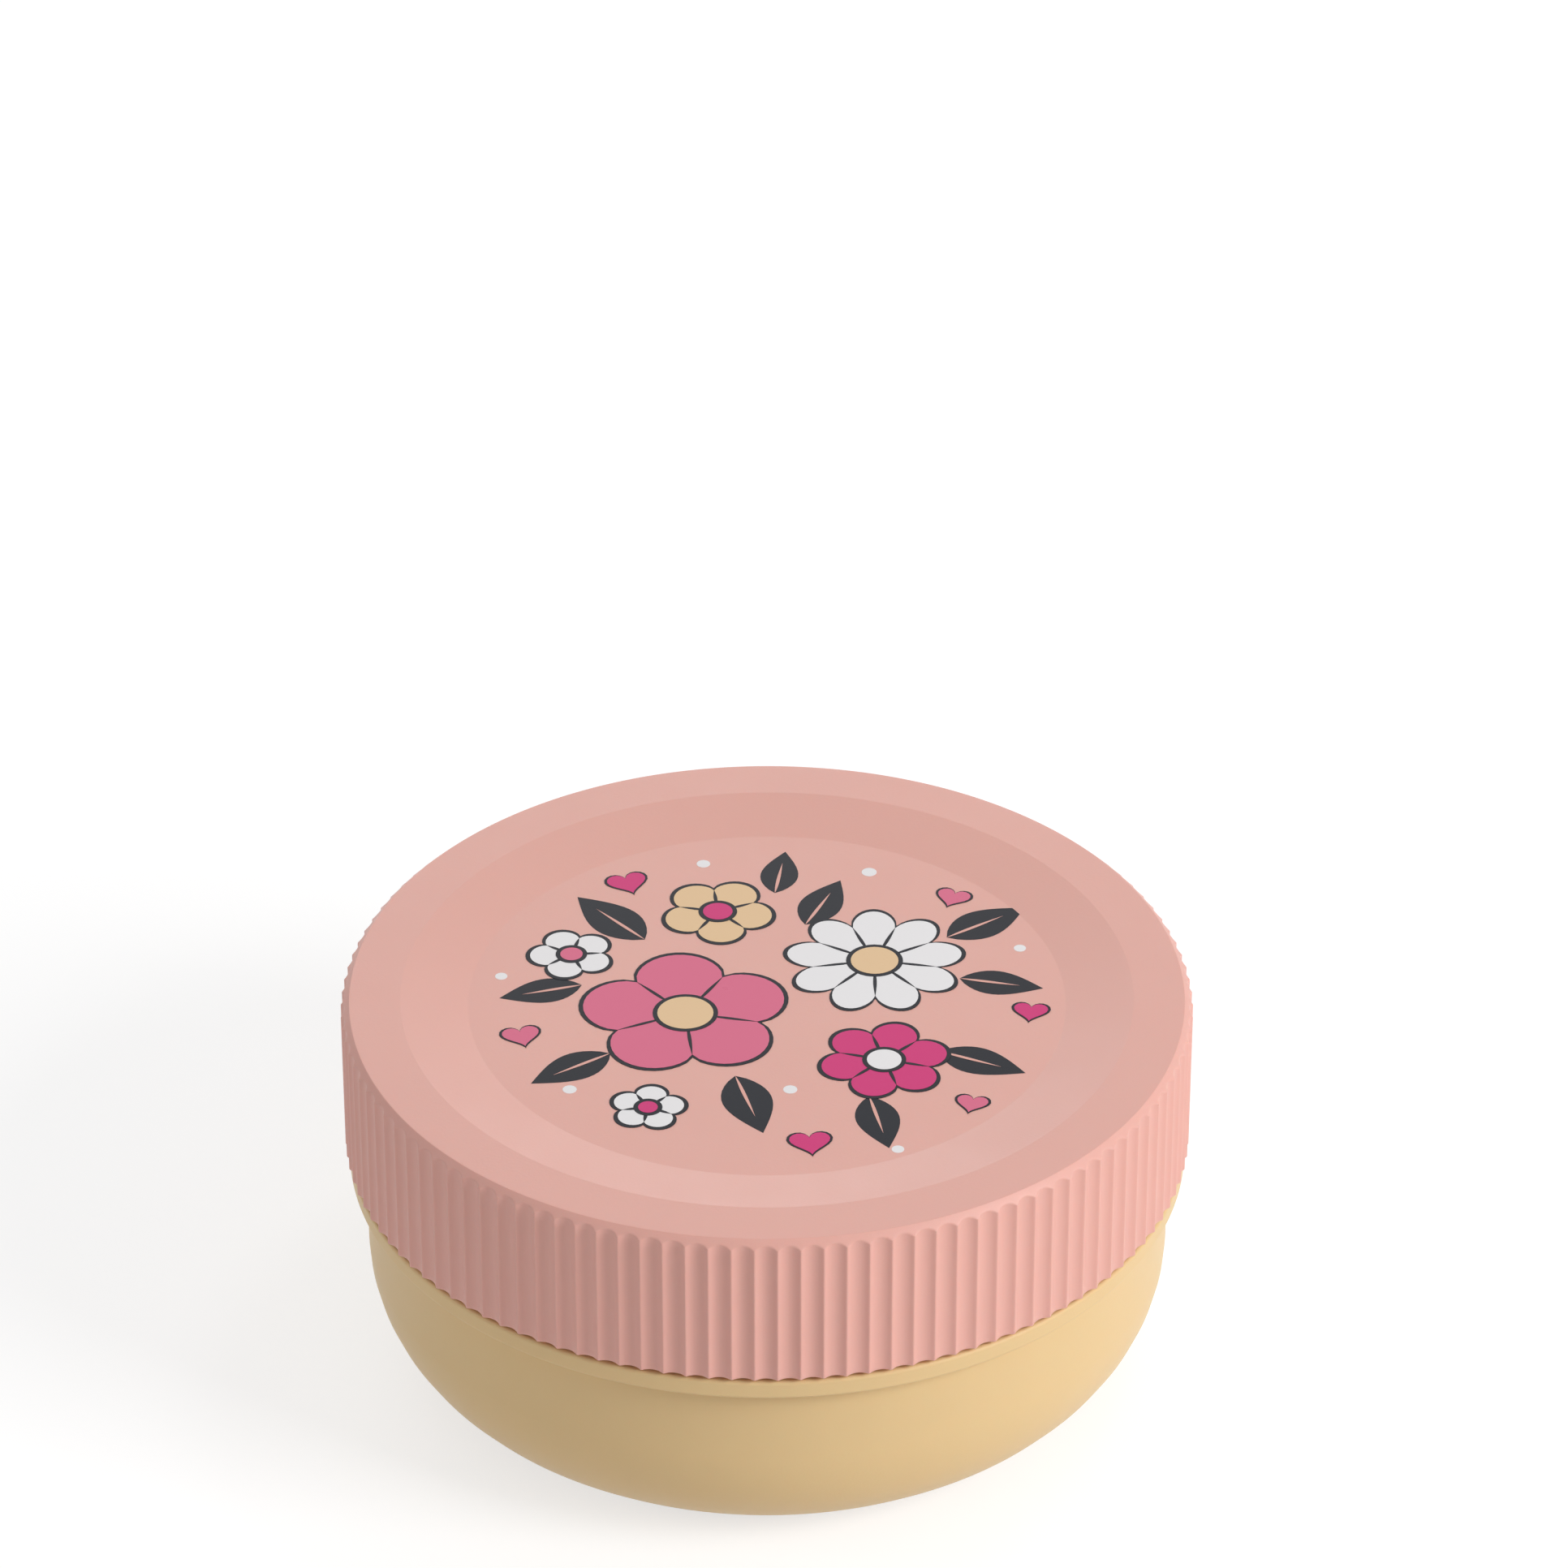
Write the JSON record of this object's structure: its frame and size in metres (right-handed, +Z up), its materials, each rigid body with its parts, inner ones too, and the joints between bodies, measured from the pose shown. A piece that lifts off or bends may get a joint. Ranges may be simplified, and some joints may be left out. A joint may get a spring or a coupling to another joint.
{
  "type": "snack container",
  "caption": "Round snack tub for a toddler with a fluted screw lid and a soft seal ring on the mouth.",
  "frame": {"origin": "centre of the base, on the surface that the closed container stands on", "axes": "+Z up along the axis of the tub and the lid, -Y towards the side that the picture shows"},
  "size_m": [0.11, 0.11, 0.0531],
  "materials": {
    "tub_plastic": "satin, with a glossy inner floor",
    "seal_silicone": "translucent satin silicone",
    "lid_plastic": "satin, with a printed panel on top"
  },
  "bodies": {
    "tub_body": {"tub": "tub_plastic"},
    "seal_body": {"seal_ring": "seal_silicone"},
    "lid_body": {"lid": "lid_plastic"}
  },
  "joints": [
    {"name": "lid_turn", "type": "hinge", "parent": "tub_body", "child": "seal_body", "pos_m": [0, 0, 0.0485], "axis": [0, 0, 1], "range_deg": [0, 7200]},
    {"name": "lid_lift", "type": "slide", "parent": "seal_body", "child": "lid_body", "axis": [0, 0, 1], "range_m": [0, 0.106]}
  ],
  "couplings": [
    {"joint": "lid_lift", "follows": "lid_turn", "m_per_rad": 0.00084352}
  ]
}
